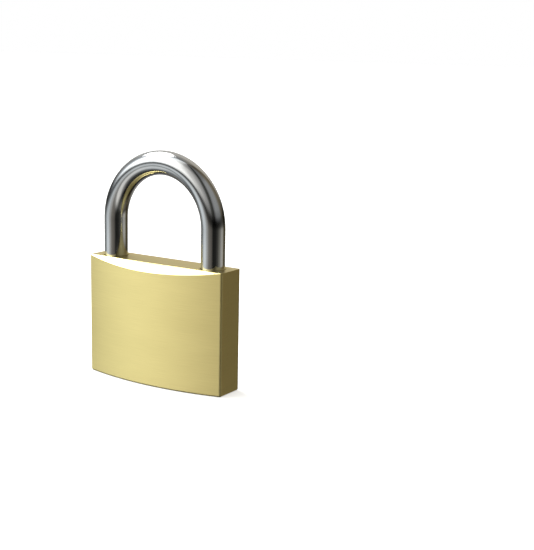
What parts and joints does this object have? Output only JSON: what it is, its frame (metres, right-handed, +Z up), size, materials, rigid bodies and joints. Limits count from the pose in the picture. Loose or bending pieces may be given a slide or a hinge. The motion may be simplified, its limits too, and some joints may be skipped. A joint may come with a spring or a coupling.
{
  "type": "padlock",
  "caption": "Solid brass padlock with a steel shackle, a keyed pin-tumbler cylinder in the base and two spring latches that hold both legs.",
  "frame": {"origin": "middle of the flat base face", "axes": "+X across the width towards the shackle's heel, +Y to the rear broad face, +Z up along the shackle's legs"},
  "size_m": [0.05, 0.0164, 0.071],
  "materials": {
    "case_brass": "satin, fine horizontal brush marks",
    "cylinder_brass": "turned and brushed",
    "pin_brass": "turned",
    "shackle_steel": "polished",
    "steel": "machined",
    "spring_steel": "drawn wire"
  },
  "bodies": {
    "case": {"lock_case": "case_brass", "latch_bore_cap": "case_brass", "retainer_hole_cap": "case_brass", "chamber_cap_1": "case_brass", "chamber_cap_2": "case_brass", "chamber_cap_3": "case_brass", "chamber_cap_4": "case_brass", "chamber_cap_5": "case_brass", "plug_retaining_pin": "steel", "shackle_retaining_pin": "steel", "shackle_spring": "spring_steel", "front_latch_spring": "spring_steel", "rear_latch_spring": "spring_steel", "pin_spring_1": "spring_steel", "pin_spring_2": "spring_steel", "pin_spring_3": "spring_steel", "pin_spring_4": "spring_steel", "pin_spring_5": "spring_steel"},
    "cylinder": {"cylinder_plug": "cylinder_brass", "latch_driver": "steel"},
    "shackle": {"shackle": "shackle_steel"},
    "heel_latch": {"heel_latch": "steel"},
    "toe_latch": {"toe_latch": "steel"},
    "driver_pin_1": {"driver_pin_1": "steel"},
    "key_pin_1": {"key_pin_1": "pin_brass"},
    "driver_pin_2": {"driver_pin_2": "steel"},
    "key_pin_2": {"key_pin_2": "pin_brass"},
    "driver_pin_3": {"driver_pin_3": "steel"},
    "key_pin_3": {"key_pin_3": "pin_brass"},
    "driver_pin_4": {"driver_pin_4": "steel"},
    "key_pin_4": {"key_pin_4": "pin_brass"},
    "driver_pin_5": {"driver_pin_5": "steel"},
    "key_pin_5": {"key_pin_5": "pin_brass"}
  },
  "joints": [
    {"name": "plug_turn", "type": "hinge", "parent": "case", "child": "cylinder", "pos_m": [0, 0, 0], "axis": [0, 0, 1], "range_deg": [0, 90]},
    {"name": "heel_latch_slide", "type": "slide", "parent": "case", "child": "heel_latch", "axis": [-1, 0, 0], "range_m": [0, 0.00424], "deforming": ["front_latch_spring", "rear_latch_spring"]},
    {"name": "toe_latch_slide", "type": "slide", "parent": "case", "child": "toe_latch", "axis": [1, 0, 0], "range_m": [0, 0.00424]},
    {"name": "shackle_lift", "type": "slide", "parent": "case", "child": "shackle", "axis": [0, 0, 1], "range_m": [0, 0.0113], "deforming": ["shackle_spring"]},
    {"name": "driver_pin_1_slide", "type": "slide", "parent": "case", "child": "driver_pin_1", "axis": [-1, 0, 0], "range_m": [-0.0013, 0], "deforming": ["pin_spring_1"]},
    {"name": "key_pin_1_slide", "type": "slide", "parent": "cylinder", "child": "key_pin_1", "axis": [-1, 0, 0], "range_m": [-0.0013, 0]},
    {"name": "driver_pin_2_slide", "type": "slide", "parent": "case", "child": "driver_pin_2", "axis": [-1, 0, 0], "range_m": [-0.0005, 0], "deforming": ["pin_spring_2"]},
    {"name": "key_pin_2_slide", "type": "slide", "parent": "cylinder", "child": "key_pin_2", "axis": [-1, 0, 0], "range_m": [-0.0005, 0]},
    {"name": "driver_pin_3_slide", "type": "slide", "parent": "case", "child": "driver_pin_3", "axis": [-1, 0, 0], "range_m": [-0.0017, 0], "deforming": ["pin_spring_3"]},
    {"name": "key_pin_3_slide", "type": "slide", "parent": "cylinder", "child": "key_pin_3", "axis": [-1, 0, 0], "range_m": [-0.0017, 0]},
    {"name": "driver_pin_4_slide", "type": "slide", "parent": "case", "child": "driver_pin_4", "axis": [-1, 0, 0], "range_m": [-0.0009, 0], "deforming": ["pin_spring_4"]},
    {"name": "key_pin_4_slide", "type": "slide", "parent": "cylinder", "child": "key_pin_4", "axis": [-1, 0, 0], "range_m": [-0.0009, 0]},
    {"name": "driver_pin_5_slide", "type": "slide", "parent": "case", "child": "driver_pin_5", "axis": [-1, 0, 0], "range_m": [-0.002, 0], "deforming": ["pin_spring_5"]},
    {"name": "key_pin_5_slide", "type": "slide", "parent": "cylinder", "child": "key_pin_5", "axis": [-1, 0, 0], "range_m": [-0.002, 0]}
  ],
  "couplings": [
    {"joint": "heel_latch_slide", "follows": "plug_turn", "m_per_rad": 0.0027009},
    {"joint": "toe_latch_slide", "follows": "plug_turn", "m_per_rad": 0.0027009},
    {"joint": "shackle_lift", "follows": "plug_turn", "m_per_rad": 0.0071938},
    {"joint": "key_pin_1_slide", "follows": "driver_pin_1_slide", "ratio": 1},
    {"joint": "key_pin_2_slide", "follows": "driver_pin_2_slide", "ratio": 1},
    {"joint": "key_pin_3_slide", "follows": "driver_pin_3_slide", "ratio": 1},
    {"joint": "key_pin_4_slide", "follows": "driver_pin_4_slide", "ratio": 1},
    {"joint": "key_pin_5_slide", "follows": "driver_pin_5_slide", "ratio": 1}
  ]
}
